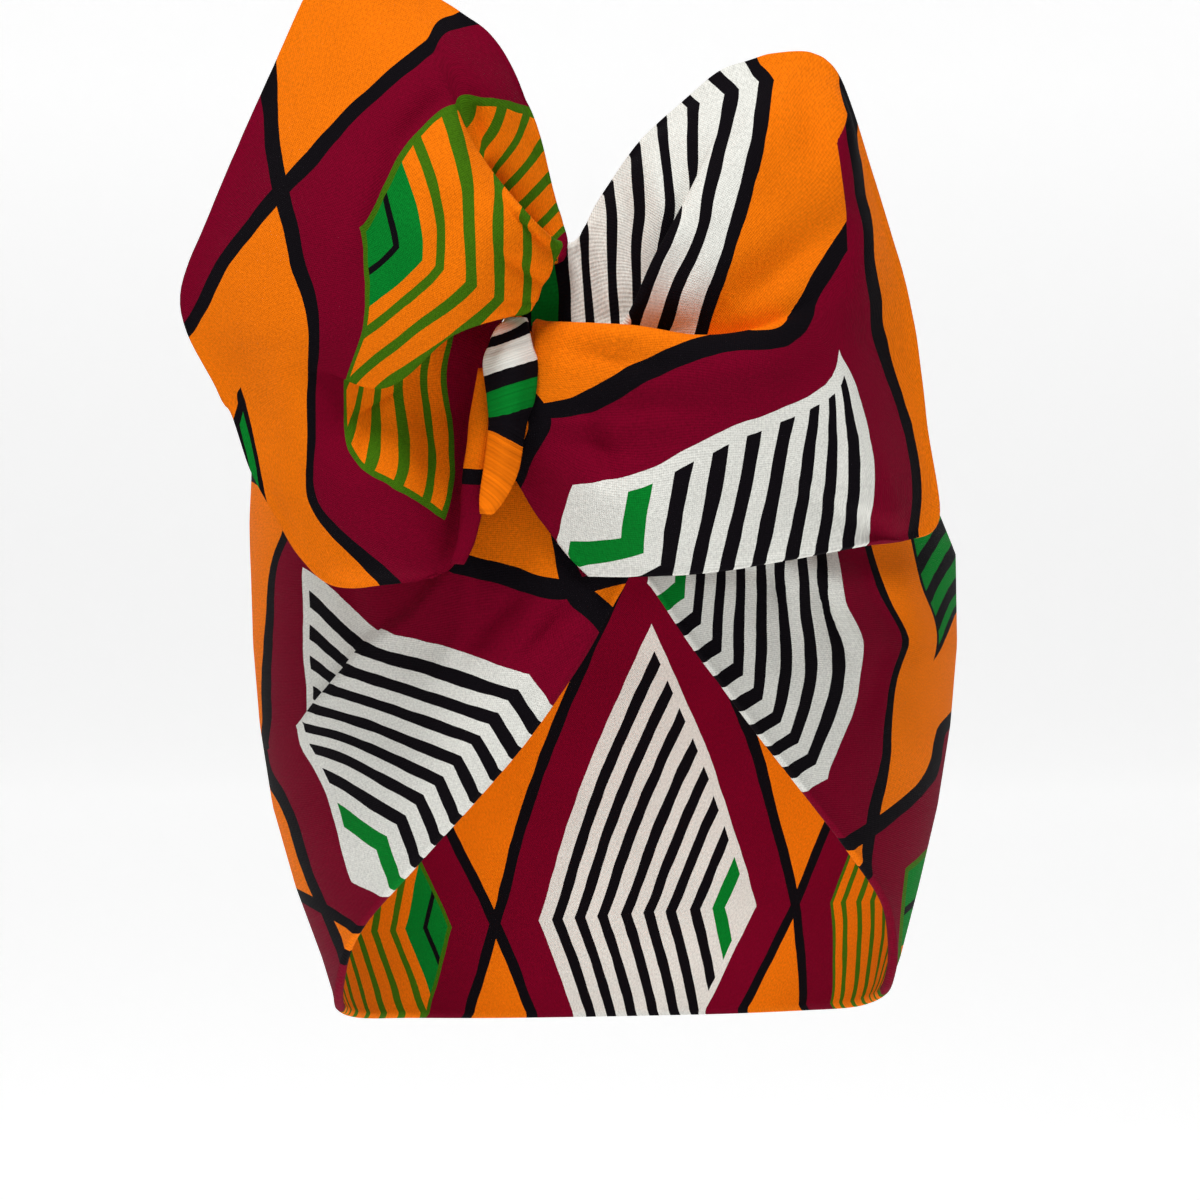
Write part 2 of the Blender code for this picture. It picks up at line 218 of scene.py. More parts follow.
# Where the print lies on each stretch of cloth: pixels of the photograph, and the print's own
# coordinates there. p and q count cells along the rhombus's two pairs of sides. Each row is
# photo_x, photo_y, p, q.
PRINT_BAND_LEFT_LOW = [
    (516, 692, 0.802, 0.198), (495, 718, 0.726, 0.274), (476, 739, 0.65, 0.35),
    (459, 759, 0.574, 0.426), (440, 780, 0.498, 0.502), (421, 800, 0.422, 0.578),
    (403, 818, 0.346, 0.654), (385, 842, 0.27, 0.73), (353, 883, 0.14, 0.86),
    (529, 677, 0.86, 0.14), (390, 633, 0.86, 0.43), (300, 727, 0.498, 0.86),
    (298, 745, 0.422, 0.86), (318, 768, 0.346, 0.86), (333, 806, 0.27, 0.86),
    (294, 815, 0.2, 1.0), (309, 868, 0.09, 1.0), (327, 906, 0.0, 1.0),
    (450, 560, 1.0, 0.24), (509, 574, 1.0, 0.125), (572, 590, 1.0, 0.0),
    (612, 619, 0.905, 0.0), (524, 509, 1.14, 0.06),
]
PRINT_BAND_LEFT_HIGH = [
    (305, 590, 0.802, 0.86), (306, 625, 0.726, 0.86), (306, 657, 0.65, 0.86),
    (311, 687, 0.574, 0.86), (303, 566, 0.86, 0.86), (381, 633, 0.86, 0.61),
    (368, 652, 0.802, 0.6), (288, 539, 0.9, 1.0), (274, 610, 0.73, 1.0),
    (268, 692, 0.52, 1.0), (274, 765, 0.33, 1.0), (430, 580, 0.95, 0.5),
    (342, 598, 0.86, 0.74), (350, 560, 0.93, 0.72), (400, 600, 0.91, 0.58),
]
PRINT_BAND_RIGHT = [
    (680, 590, 0.27, 0.73), (695, 619, 0.346, 0.654), (715, 644, 0.422, 0.578),
    (737, 668, 0.498, 0.502), (757, 694, 0.574, 0.426), (775, 716, 0.65, 0.35),
    (792, 738, 0.726, 0.274), (810, 759, 0.802, 0.198), (824, 777, 0.86, 0.14),
    (839, 739, 0.86, 0.22), (853, 708, 0.86, 0.29), (856, 678, 0.86, 0.35),
    (842, 609, 0.86, 0.49), (840, 577, 0.86, 0.55), (868, 830, 1.0, 0.0),
    (886, 751, 1.0, 0.16), (889, 701, 1.0, 0.26), (910, 642, 1.0, 0.38),
    (886, 597, 1.0, 0.48), (866, 547, 1.0, 0.59), (903, 801, 1.1, 0.0),
    (932, 772, 1.22, 0.0), (935, 728, 1.32, 0.0), (925, 668, 1.25, 0.25),
    (918, 591, 1.25, 0.42), (951, 614, 1.42, 0.25),
]

PRINT_EAR_LEFT = [
    (283, 191, 1.0, 0.0), (336, 132, 1.0, -0.16), (403, 70, 1.0, -0.335),
    (465, 18, 1.0, -0.49), (298, 264, 1.14, 0.0), (315, 358, 1.33, 0.0),
    (314, 442, 1.5, 0.0), (310, 498, 1.61, 0.0), (348, 542, 1.72, 0.0),
    (389, 580, 1.82, 0.0), (257, 223, 1.0, 0.08), (225, 264, 1.0, 0.18),
    (191, 331, 1.0, 0.33), (276, 147, 0.91, 0.0), (273, 88, 0.79, 0.0),
    (360, 230, 1.14, -0.14), (392, 169, 1.14, -0.27), (418, 134, 1.14, -0.353),
    (442, 110, 1.14, -0.417), (473, 96, 1.14, -0.48), (406, 252, 1.25, -0.25),
    (430, 262, 1.326, -0.326), (461, 278, 1.4, -0.4), (491, 296, 1.478, -0.478),
    (516, 303, 1.554, -0.554), (365, 322, 1.326, -0.14), (348, 390, 1.42, -0.16),
    (336, 431, 1.52, -0.14), (362, 390, 1.478, -0.21), (424, 346, 1.478, -0.34),
    (344, 0, 0.76, -0.165), (400, 0, 0.86, -0.32), (436, 0, 0.92, -0.42),
    (205, 230, 0.9, 0.16), (244, 385, 1.25, 0.25), (491, 188, 1.33, -0.478),
    (515, 205, 1.4, -0.554),
]
PRINT_EAR_LEFT_BACK = [
    (465, 18, 1.0, -0.49), (494, 101, 1.14, -0.478), (475, 150, 1.24, -0.478),
    (519, 103, 1.14, -0.554), (482, 173, 1.29, -0.554), (534, 138, 1.17, -0.63),
    (494, 188, 1.29, -0.63), (543, 173, 1.2, -0.706), (512, 205, 1.285, -0.706),
    (553, 205, 1.22, -0.79), (534, 223, 1.27, -0.79), (436, 0, 0.92, -0.44),
    (473, 96, 1.14, -0.43),
]
PRINT_EAR_LEFT_LOW = [
    (362, 468, 1.63, -0.14), (389, 483, 1.706, -0.14), (415, 501, 1.782, -0.14),
    (443, 519, 1.86, -0.14), (369, 419, 1.63, -0.235), (390, 375, 1.706, -0.34),
    (417, 360, 1.782, -0.41), (451, 419, 1.86, -0.33), (447, 360, 1.86, -0.42),
    (340, 451, 1.57, -0.13), (314, 442, 1.5, 0.0), (310, 498, 1.61, 0.0),
    (348, 542, 1.72, 0.0), (389, 580, 1.82, 0.0), (244, 385, 1.25, 0.25),
    (260, 452, 1.33, 0.25), (274, 505, 1.42, 0.25), (315, 358, 1.33, 0.0),
    (475, 440, 1.92, -0.33),
]

PRINT_EAR_RIGHT = [
    (572, 484, 0.14, 0.86), (558, 541, 0.14, 0.75), (636, 546, 0.27, 0.73),
    (669, 568, 0.346, 0.654), (690, 447, 0.346, 0.86), (722, 430, 0.422, 0.86),
    (755, 417, 0.498, 0.86), (790, 403, 0.574, 0.86), (816, 388, 0.65, 0.86),
    (830, 372, 0.726, 0.86), (645, 472, 0.27, 0.86), (694, 573, 0.422, 0.613),
    (725, 570, 0.498, 0.596), (757, 566, 0.574, 0.58), (788, 562, 0.65, 0.56),
    (820, 556, 0.726, 0.55), (845, 552, 0.802, 0.53), (865, 545, 0.86, 0.52),
    (700, 349, 0.346, 1.0), (650, 367, 0.235, 1.0), (580, 405, 0.09, 1.0),
    (741, 341, 0.43, 1.0), (785, 340, 0.53, 1.0), (807, 300, 0.62, 1.0),
    (845, 235, 0.78, 1.0), (854, 195, 1.0, 0.87), (864, 257, 1.0, 0.73),
    (883, 338, 1.0, 0.58), (903, 420, 1.0, 0.43), (915, 495, 1.0, 0.3),
    (856, 400, 0.86, 0.78), (936, 510, 1.09, 0.3), (600, 325, 0.16, 1.1),
    (835, 357, 0.86, 0.86), (836, 300, 0.72, 0.96), (549, 419, 0.0, 0.98),
    (531, 446, 0.0, 0.92), (521, 476, 0.0, 0.86), (541, 385, 0.04, 1.06),
    (541, 345, 0.05, 1.12), (846, 358, 0.895, 0.82), (852, 376, 0.875, 0.81),
    (847, 330, 0.915, 0.8), (846, 305, 0.92, 0.82), (838, 343, 0.885, 0.875),
    (842, 320, 0.885, 0.885),
]
PRINT_EAR_RIGHT_FLANK = [
    (848, 138, 1.0, 0.94), (854, 195, 1.0, 0.85), (864, 257, 1.0, 0.73),
    (883, 338, 1.0, 0.58), (903, 420, 1.0, 0.43), (915, 495, 1.0, 0.3),
    (837, 77, 1.0, 1.06), (843, 108, 0.99, 0.99), (839, 126, 0.965, 0.965),
    (845, 180, 0.955, 0.88), (849, 220, 0.94, 0.81),
    (848, 254, 0.935, 0.78), (843, 300, 0.93, 0.76), (838, 345, 0.91, 0.77),
    (852, 330, 0.93, 0.72), (858, 290, 0.96, 0.73),
    (865, 545, 0.86, 0.52), (856, 400, 0.86, 0.78), (936, 510, 1.09, 0.3),
    (880, 200, 1.07, 0.74), (862, 440, 0.86, 0.7),
]
# The crease down the right ear: the cloth right of it is turned back, with a print of its own.
FLANK_LINE = [
    # photo_x, photo_y
    (834, 60), (841, 98), (832, 116), (838, 160), (844, 214), (846, 254), (843, 300),
    (837, 352),
]
PRINT_EAR_RIGHT_TOP = [
    (770, 80, 0.8, 1.2), (747, 193, 0.59, 1.2), (719, 280, 0.42, 1.2),
    (705, 337, 0.31, 1.2), (733, 94, 0.72, 1.28), (705, 201, 0.515, 1.28),
    (679, 280, 0.37, 1.28), (660, 334, 0.3, 1.28), (682, 214, 0.45, 1.355),
    (633, 330, 0.27, 1.355), (785, 340, 0.53, 1.0), (807, 300, 0.62, 1.0),
    (845, 235, 0.78, 1.0), (836, 120, 0.96, 1.05), (841, 170, 0.88, 1.04),
    (835, 77, 0.985, 1.09), (800, 54, 0.89, 1.16), (846, 212, 0.815, 1.025),
    (740, 64, 0.8, 1.26), (699, 107, 0.645, 1.355),
]
PRINT_EAR_RIGHT_SIDE = [
    (664, 122, 0.57, 1.43), (671, 214, 0.42, 1.43), (661, 254, 0.36, 1.43),
    (638, 147, 0.47, 1.506), (642, 214, 0.37, 1.506), (639, 275, 0.28, 1.506),
    (612, 190, 0.37, 1.58), (615, 306, 0.23, 1.58), (586, 223, 0.29, 1.66),
    (592, 318, 0.21, 1.66), (694, 110, 0.64, 1.355), (694, 171, 0.53, 1.355),
    (733, 94, 0.72, 1.28), (561, 270, 0.24, 1.735), (562, 312, 0.2, 1.735),
    (551, 300, 0.2, 1.79),
]

# The line of the tuck in the band's left front, down from the knot: the cloth right of it lies
# over the cloth left of it.
TUCK_LINE = [
    # photo_x, photo_y
    (475, 532), (450, 565), (418, 606), (383, 630), (365, 642), (348, 665), (315, 704),
    (300, 725), (255, 762),
]
TUCK_HEIGHT = 2.6
TUCK_REACH = 9.0
TUCK_STEP = 0.4

# Along its line the tuck rises, then fades, and the prints on its two sides join.
TUCK_RISE = (0.0, 0.1)
TUCK_FADE = (0.75, 1.0)
TUCK_PRINTS_JOIN = (0.8, 1.0)

# The prints on the tuck's two sides join near its lower end, as far as this from its line. The
# flank's print parts from the front's over this height above the crease's lower end.
TUCK_JOIN = 4.0
FLANK_JOIN = 14.0

# The tuck and the wrinkles fade out from this far in front of the head's middle back to it.
FRONT_REACH = 40.0

# Stations of the band. The tuck's upper layer ends at the first. The print is read from the
# photograph up to the left station and from the right one on. Round the back the cells are
# carried on along the strip: they take over within the turn and are regular after the settling.
TUCK_END_STATION = 7
LEFT_STATION = 6.0
RIGHT_STATION = 14.0
PRINT_TURN = 0.9
PRINT_SETTLING = 4.0

# Behind the left front, the low print gives way to the high one over these shares of the width.
LEFT_LOW_TO_HIGH = (0.2, 0.5)

# Between which ribs each stretch of the ears' print gives way to the next one.
EAR_LEFT_LOW_TO_MAIN = (6.6, 7.9)
EAR_LEFT_MAIN_TO_BACK = (13.3, 14.6)
EAR_RIGHT_FRONT_TO_TOP = (9.2, 10.3)
EAR_RIGHT_TOP_TO_SIDE = (15.2, 16.3)
FLANK_END_RIB = 13

# How closely the print keeps to its anchors: 0 is exactly.
ANCHOR_SLACK = 40.0

STRIP_WIDTH = 160.0

# The wrinkles' depth, the height they keep at their ends, and where a fold of the band starts.
WRINKLE_DEPTH = 1.8
WRINKLE_END = 0.03
FOLD_START = 0.1

# Low waves in the cloth of the ears, in millimetres and radians.
SOFT_WAVES = [
    # size, height, turn
    (34.0, 0.34, 0.4),
    (23.0, 0.22, 1.7),
    (13.0, 0.12, 2.9),
    (8.0, 0.06, 4.4),
]

# Soft wrinkles: a straight ridge, or a groove where the height is below 0. Each row is start_x,
# start_y, end_x, end_y in pixels of the photograph, and height, width in millimetres.
WRINKLES_BAND = [
    (462, 660, 525, 590, -1.1, 2.4), (500, 668, 548, 598, 0.9, 3.0),
    (532, 650, 580, 598, -1.0, 2.4), (560, 660, 597, 610, 0.6, 2.6),
    (410, 700, 470, 640, 0.5, 4.0), (340, 560, 370, 640, -0.8, 3.0),
    (768, 548, 774, 605, -1.4, 1.8), (786, 548, 800, 620, 1.0, 2.6),
    (803, 552, 838, 650, -1.3, 2.2), (822, 552, 858, 655, 1.1, 2.8),
    (846, 552, 905, 650, -1.2, 2.8), (900, 560, 918, 640, 0.9, 3.0),
    (882, 640, 862, 730, -0.9, 3.0), (720, 580, 800, 720, 0.5, 4.0),
]
WRINKLES_EAR_LEFT = [
    (445, 92, 396, 150, -1.5, 4.0), (396, 150, 360, 290, -1.3, 4.0),
    (430, 140, 415, 290, 1.2, 5.0), (262, 440, 320, 565, 0.9, 4.0),
    (300, 520, 400, 575, -0.7, 3.5), (230, 300, 262, 440, -0.6, 6.0),
    (395, 372, 402, 480, 0.9, 3.0), (420, 360, 428, 500, -0.8, 2.6),
    (366, 400, 360, 470, -0.8, 2.4), (440, 520, 468, 420, 1.0, 3.0),
    (300, 120, 330, 30, 0.6, 7.0), (472, 100, 480, 160, -1.6, 2.6),
    (480, 160, 512, 215, -1.6, 2.4), (512, 215, 556, 255, -1.2, 2.0),
    (450, 120, 462, 200, 1.1, 3.6), (500, 255, 545, 285, -1.0, 2.0),
]
WRINKLES_EAR_RIGHT = [
    (594, 418, 612, 480, -1.4, 3.0), (560, 440, 640, 455, -0.7, 3.0),
    (728, 300, 850, 215, -1.6, 5.5), (800, 80, 818, 175, -1.1, 4.0),
    (760, 90, 735, 200, 0.8, 6.0), (560, 350, 660, 362, -0.8, 3.0),
    (640, 390, 800, 360, 0.8, 4.0), (625, 185, 640, 290, -0.8, 3.0),
    (600, 230, 606, 320, 0.8, 3.0), (650, 150, 668, 240, 0.9, 3.0),
    (845, 380, 862, 500, 1.2, 3.0), (880, 300, 905, 480, -0.8, 4.0),
    (700, 500, 840, 470, 0.6, 8.0), (590, 340, 640, 330, 0.7, 2.6),
]

# Where the print lies along the two strands of the knot, from their lower ends up.
PRINT_STRAP = [
    # up, p
    (21, 0.05), (38, 0.11), (40.8, 0.13), (46.9, 0.159), (53.9, 0.245), (58, 0.287),
    (64.7, 0.33), (67.2, 0.359), (73.5, 0.4),
]

# The strap's print runs slanting across it, one way above the middle and the other way below.
STRAP_SLANT_UP = 2.2
STRAP_SLANT_DOWN = -2.6
STRAP_MIDDLE = (41.0, 48.0)
STRAP_Q = 1.82
FOLD_Q = 0.06
FOLD_Q_ACROSS = 0.04
PRINT_FOLD = [
    # up, p
    (9, 0.8), (31, 1.0), (58, 1.23),
]


def through(rows, places):
    """Read a smooth curve through the rows at the given places, counted in rows."""
    rows = np.asarray(rows, dtype=float)
    slopes = np.gradient(rows, axis=0)
    places = np.asarray(places, dtype=float)
    first = np.clip(places.astype(int), 0, len(rows) - 2)
    part = (places - first).reshape((-1,) + (1,) * (rows.ndim - 1))
    start_weight = 2 * part**3 - 3 * part**2 + 1
    end_weight = 3 * part**2 - 2 * part**3
    start_slope_weight = part**3 - 2 * part**2 + part
    end_slope_weight = part**3 - part**2
    return (start_weight * rows[first] + end_weight * rows[first + 1]
            + start_slope_weight * slopes[first] + end_slope_weight * slopes[first + 1])


def from_front(seen):
    """Turn places in the front view (across, up, to the front) into places in the model."""
    across, up, toward = np.moveaxis(np.asarray(seen, dtype=float), -1, 0)
    share = (EYE_LEVEL - toward) / (EYE_LEVEL + up * EYE_SIN)
    height = EYE_RISE + share * (up * EYE_COS - EYE_RISE)
    return np.stack([share * across, -toward, height], axis=-1)


def to_front(places):
    """Where places in the model are seen in the front view: across and up, in millimetres."""
    x, y, z = np.moveaxis(places, -1, 0)
    past, over = y + EYE_LEVEL, z - EYE_RISE
    depth = past * EYE_COS - over * EYE_SIN
    lift = past * EYE_SIN + over * EYE_COS
    return np.stack([x / depth, lift / depth], axis=-1) * EYE_DISTANCE


def on_head(angle, height, off_head):
    """The place on the cloth's section round the head, at an angle from the front."""
    sections = np.array(HEAD_SECTIONS, dtype=float)
    middle, half_width, front, back = (
        np.interp(height, sections[:, 0], column) for column in sections.T[1:])
    turn = np.radians(angle)
    reach = np.where(np.cos(turn) > 0, front, back)
    return np.stack([
        middle + (half_width + off_head) * np.sin(turn),
        -(reach + off_head) * np.cos(turn),
        height], axis=-1)


def steps_with_fine_ends(count):
    """Even places from 0 to 1, with a few more in the first and the last step for the hem."""
    even = np.linspace(0, 1, count)
    step = even[1]
    first = [part * step for part in EDGE_STEPS]
    last = [1 - part * step for part in reversed(EDGE_STEPS)]
    return np.array([0.0, *first, *even[1:-1], *last, 1.0])


def fold_lift(station, share):
    """How far the band's folds lift the cloth at a station and a share of the strip's width."""
    lift = np.zeros(np.broadcast(station, share).shape)
    for start, end, share_at_start, share_at_end, height, width in BAND_FOLDS:
        along = np.clip((station - start) / (end - start), 0, 1)
        fade = np.sin(math.pi * np.clip(along * (1 - FOLD_START) + FOLD_START, 0, 1))
        inside = (station >= start) & (station <= end)
        past = (share - (share_at_start + along * (share_at_end - share_at_start))) / width
        lift = lift + np.where(inside, height * fade * np.exp(-past**2), 0)
    return lift


def print_near(anchors, seen):
    """The print's coordinates at places of the front view, smooth and close to every anchor."""
    table = np.array(anchors, dtype=float)
    places = seen_from_pixels(table)
    count = len(places)

    def bend(distance):
        safe = np.maximum(distance, 1e-6)
        return safe**2 * np.log(safe)

    spread = bend(np.linalg.norm(places[:, None] - places[None], axis=-1))
    spread += np.eye(count) * ANCHOR_SLACK
    flat = np.column_stack([np.ones(count), places])
    system = np.block([[spread, flat], [flat.T, np.zeros((3, 3))]])
    goal = np.vstack([table[:, 2:], np.zeros((3, 2))])
    weights = np.linalg.solve(system, goal)
    points = seen.reshape(-1, 2)
    reach = bend(np.linalg.norm(points[:, None] - places[None], axis=-1))
    result = reach @ weights[:count] + weights[count] + points @ weights[count + 1:]
    return result.reshape(seen.shape)


def seen_from_pixels(pixels):
    """Photograph pixels as places in the front view, in millimetres."""
    return np.stack([(pixels[..., 0] - ORIGIN_PIXEL_X) / PIXELS_PER_MM,
                     (ORIGIN_PIXEL_Y - pixels[..., 1]) / PIXELS_PER_MM], axis=-1)


def beside_line(line, seen):
    """How far places lie right of a line, going down it, and how far along it they are."""
    corners = seen_from_pixels(np.array(line, dtype=float))
    nearest = np.full(seen.shape[:-1], np.inf)
    signed = np.zeros(seen.shape[:-1])
    along = np.zeros(seen.shape[:-1])
    for number, (start, end) in enumerate(zip(corners[:-1], corners[1:])):
        run = end - start
        part = np.clip(((seen - start) @ run) / (run @ run), 0, 1)
        away = seen - (start + part[..., None] * run)
        distance = np.linalg.norm(away, axis=-1)
        side = np.where(run[0] * away[..., 1] - run[1] * away[..., 0] > 0, 1.0, -1.0)
        closer = distance < nearest
        nearest = np.where(closer, distance, nearest)
        signed = np.where(closer, distance * side, signed)
        along = np.where(closer, (number + part) / (len(corners) - 1), along)
    return signed, along


def wrinkle_lift(wrinkles, seen):
    """How far the wrinkles lift the cloth to the front at places of the front view."""
    lift = np.zeros(seen.shape[:-1])
    for start_x, start_y, end_x, end_y, height, width in wrinkles:
        start, end = seen_from_pixels(np.array([(start_x, start_y), (end_x, end_y)], dtype=float))
        run = end - start
        along = ((seen - start) @ run) / (run @ run)
        part = np.clip(along, 0, 1)
        away = np.linalg.norm(seen - (start + part[..., None] * run), axis=-1)
        ends = np.sqrt(np.sin(math.pi * np.clip(part, WRINKLE_END, 1 - WRINKLE_END)))
        lift += WRINKLE_DEPTH * height * np.exp(-(away / width)**2) * ends
    return lift


def soft_lift(grid):
    """Low waves in the cloth, the same in every run."""
    x, y, z = np.moveaxis(grid, -1, 0)
    lift = 0
    for size, height, turn in SOFT_WAVES:
        one_way = (x * math.cos(turn) + z * math.sin(turn)) / size
        other_way = (y * 0.8 - x * math.sin(turn) + z * math.cos(turn)) / (size * 1.3)
        lift = lift + (height * np.sin(2 * math.pi * one_way + turn)
                       * np.sin(2 * math.pi * other_way + 2 * turn))
    return lift


def ease(value, start, end):
    """0 up to start, 1 from end on, and a smooth step between."""
    part = np.clip((value - start) / (end - start), 0, 1)
    return part * part * (3 - 2 * part)


def blend(first, second, part):
    """From the first stretch's cells, where part is 0, to the second one's, where it is 1."""
    return first + (second - first) * part[..., None]


def cloth_to_cells(along, up):
    """Cell coordinates of a place on the strip, in millimetres along it and up from its spine."""
    return np.stack([along / CELL_WIDTH + up / CELL_LENGTH,
                     -along / CELL_WIDTH + up / CELL_LENGTH], axis=-1)


def band_grid():
    """The band's middle surface: its stations, its shares of the width and its places."""
    stations = np.linspace(0, len(BAND_STATIONS) - 1,
                           (len(BAND_STATIONS) - 1) * BAND_STEPS_PER_STATION + 1)
    rows = through(BAND_STATIONS, stations)
    share = steps_with_fine_ends(BAND_STEPS_UP + 1)[None, :]
    hem_angle, hem_height, top_angle, top_height, off_head = (
        column[:, None] for column in rows.T)
    angle = hem_angle + (top_angle - hem_angle) * share
    height = hem_height + (top_height - hem_height) * share
    lift = off_head + fold_lift(stations[:, None], share)
    grid = on_head(angle, height, lift)
    seen = to_front(grid)
    beside, along = beside_line(TUCK_LINE, seen)
    tuck = np.where(beside > 0, np.exp(-beside / TUCK_REACH),
                    np.clip(1 + beside / TUCK_STEP, 0, 1))
    tuck = tuck * TUCK_HEIGHT * ease(along, *TUCK_RISE) * (1 - ease(along, *TUCK_FADE))
    on_left = stations[:, None] < TUCK_END_STATION
    at_front = np.clip(-grid[..., 1] / FRONT_REACH, 0, 1)
    grid[..., 1] -= np.where(on_left, tuck, 0) * at_front
    grid[..., 1] -= wrinkle_lift(WRINKLES_BAND, seen) * at_front
    return stations[:, None], share, grid


def band_print(stations, share, grid):
    """Cells on the band: from the photograph at its front, along the strip round the back."""
    seen = to_front(grid)
    left_low = print_near(PRINT_BAND_LEFT_LOW, seen)
    left_high = print_near(PRINT_BAND_LEFT_HIGH, seen)
    right = print_near(PRINT_BAND_RIGHT, seen)
    beside, along = beside_line(TUCK_LINE, seen)
    joined = 0.5 * ease(along, *TUCK_PRINTS_JOIN) * np.exp(-(beside / TUCK_JOIN)**2)
    difference = (left_high - left_low) * joined[..., None]
    left_low = left_low + difference
    left_high = left_high - difference
    middle = np.cumsum(np.linalg.norm(np.diff(grid, axis=0), axis=-1).mean(axis=1))
    length = np.concatenate([[0], middle])
    height = share * STRIP_WIDTH
    station = stations[:, 0]

    def strip_from(reference, at_station):
        """Carry one row of cells on along the strip, and turn it into the regular print."""
        row = int(np.argmin(np.abs(station - at_station)))
        base = reference[row]
        regular = cloth_to_cells(0 * height[0], height[0])
        regular += (base - regular).mean(axis=0)
        settled = ease(np.abs(station - at_station), 0.0, PRINT_SETTLING)[:, None, None]
        along = -(length - length[row])[:, None] + 0 * height
        return base + (regular - base) * settled + cloth_to_cells(along, 0 * height)

    left = blend(left_low, left_high, ease(share, *LEFT_LOW_TO_HIGH))
    from_left = strip_from(left, LEFT_STATION)
    from_right = strip_from(right, RIGHT_STATION)
    # The print repeats each two cells, so the right part may move by that much to meet the left.
    repeats = 2 * np.round((from_left - from_right).mean(axis=(0, 1)) / 2)
    from_right += repeats
    right = right + repeats
    part = ease(station, LEFT_STATION, RIGHT_STATION)[:, None, None]
    back = from_left * (1 - part) + from_right * part
    use_left = (1 - ease(station, LEFT_STATION, LEFT_STATION + PRINT_TURN))[:, None, None]
    use_right = ease(station, RIGHT_STATION - PRINT_TURN, RIGHT_STATION)[:, None, None]
    elsewhere = back * (1 - use_left - use_right) + right * use_right
    over = np.where(stations < TUCK_END_STATION, beside, -1.0)
    return elsewhere + left_high * use_left, elsewhere + left_low * use_left, over


def ear_grid(ribs, wrinkles):
    """An ear's middle surface: its places between the ribs, and the places in the model."""
    ribs_at = np.linspace(0, len(ribs) - 1, (len(ribs) - 1) * EAR_STEPS_PER_RIB + 1)
    points_per_rib = len(ribs[0])
    places_along = steps_with_fine_ends(EAR_PLACES_ALONG) * (points_per_rib - 1)
    fanned = through(ribs, ribs_at)
    seen = np.stack([through(rib, places_along) for rib in fanned])
    seen[..., 2] += wrinkle_lift(wrinkles, seen[..., :2]) + soft_lift(seen)
    return ribs_at[:, None], from_front(seen)


def ear_left_print(ribs_at, grid):
    """Cells on the left ear: its low stretch, then the main one, then the rolled back one."""
    seen = to_front(grid)
    low = print_near(PRINT_EAR_LEFT_LOW, seen)
    main = print_near(PRINT_EAR_LEFT, seen)
    back = print_near(PRINT_EAR_LEFT_BACK, seen)
    cells = blend(low, main, ease(ribs_at, *EAR_LEFT_LOW_TO_MAIN))
    return blend(cells, back, ease(ribs_at, *EAR_LEFT_MAIN_TO_BACK))


def ear_right_print(ribs_at, grid):
    """Cells on the right ear: front, top and side, and the flank right of the crease."""
    seen = to_front(grid)
    front = print_near(PRINT_EAR_RIGHT, seen)
    top = print_near(PRINT_EAR_RIGHT_TOP, seen)
    side = print_near(PRINT_EAR_RIGHT_SIDE, seen)
    cells = blend(front, top, ease(ribs_at, *EAR_RIGHT_FRONT_TO_TOP))
    cells = blend(cells, side, ease(ribs_at, *EAR_RIGHT_TOP_TO_SIDE))
    flank = print_near(PRINT_EAR_RIGHT_FLANK, seen)
    beside = beside_line(FLANK_LINE, seen)[0]
    lowest = seen_from_pixels(np.array(FLANK_LINE[-1], dtype=float))[1]
    flank = blend(cells, flank, ease(seen[..., 1], lowest, lowest + FLANK_JOIN))
    over = np.minimum(beside, seen[..., 1] - lowest)
    return cells, flank, np.where(ribs_at < FLANK_END_RIB, over, -1.0)


def strand_grid(rows):
    """The middle surface of one strand of the knot, crowned across."""
    rows_at = np.linspace(0, len(rows) - 1, (len(rows) - 1) * STRAND_STEPS_PER_ROW + 1)
    up, left, right, toward, edge_fall = (column[:, None] for column in through(rows, rows_at).T)
    side = np.linspace(-1, 1, STRAND_STEPS_ACROSS + 1)[None, :]
    across = (left + right) / 2 + (right - left) / 2 * side
    front = toward - edge_fall * side**2
    return side, up, from_front(np.stack([across, up + 0 * side, front], axis=-1))


def edge_distance(grid):
    """How far each place of a grid is from the cloth's nearest edge, along the cloth."""
    across = np.linalg.norm(np.diff(grid, axis=0), axis=-1)
    along = np.linalg.norm(np.diff(grid, axis=1), axis=-1)
    first_row = np.zeros((1, grid.shape[1]))
    first_column = np.zeros((grid.shape[0], 1))
    from_top = np.vstack([first_row, np.cumsum(across, axis=0)])
    from_left = np.hstack([first_column, np.cumsum(along, axis=1)])
    return np.minimum.reduce([from_top, from_top[-1:] - from_top,
                              from_left, from_left[:, -1:] - from_left])


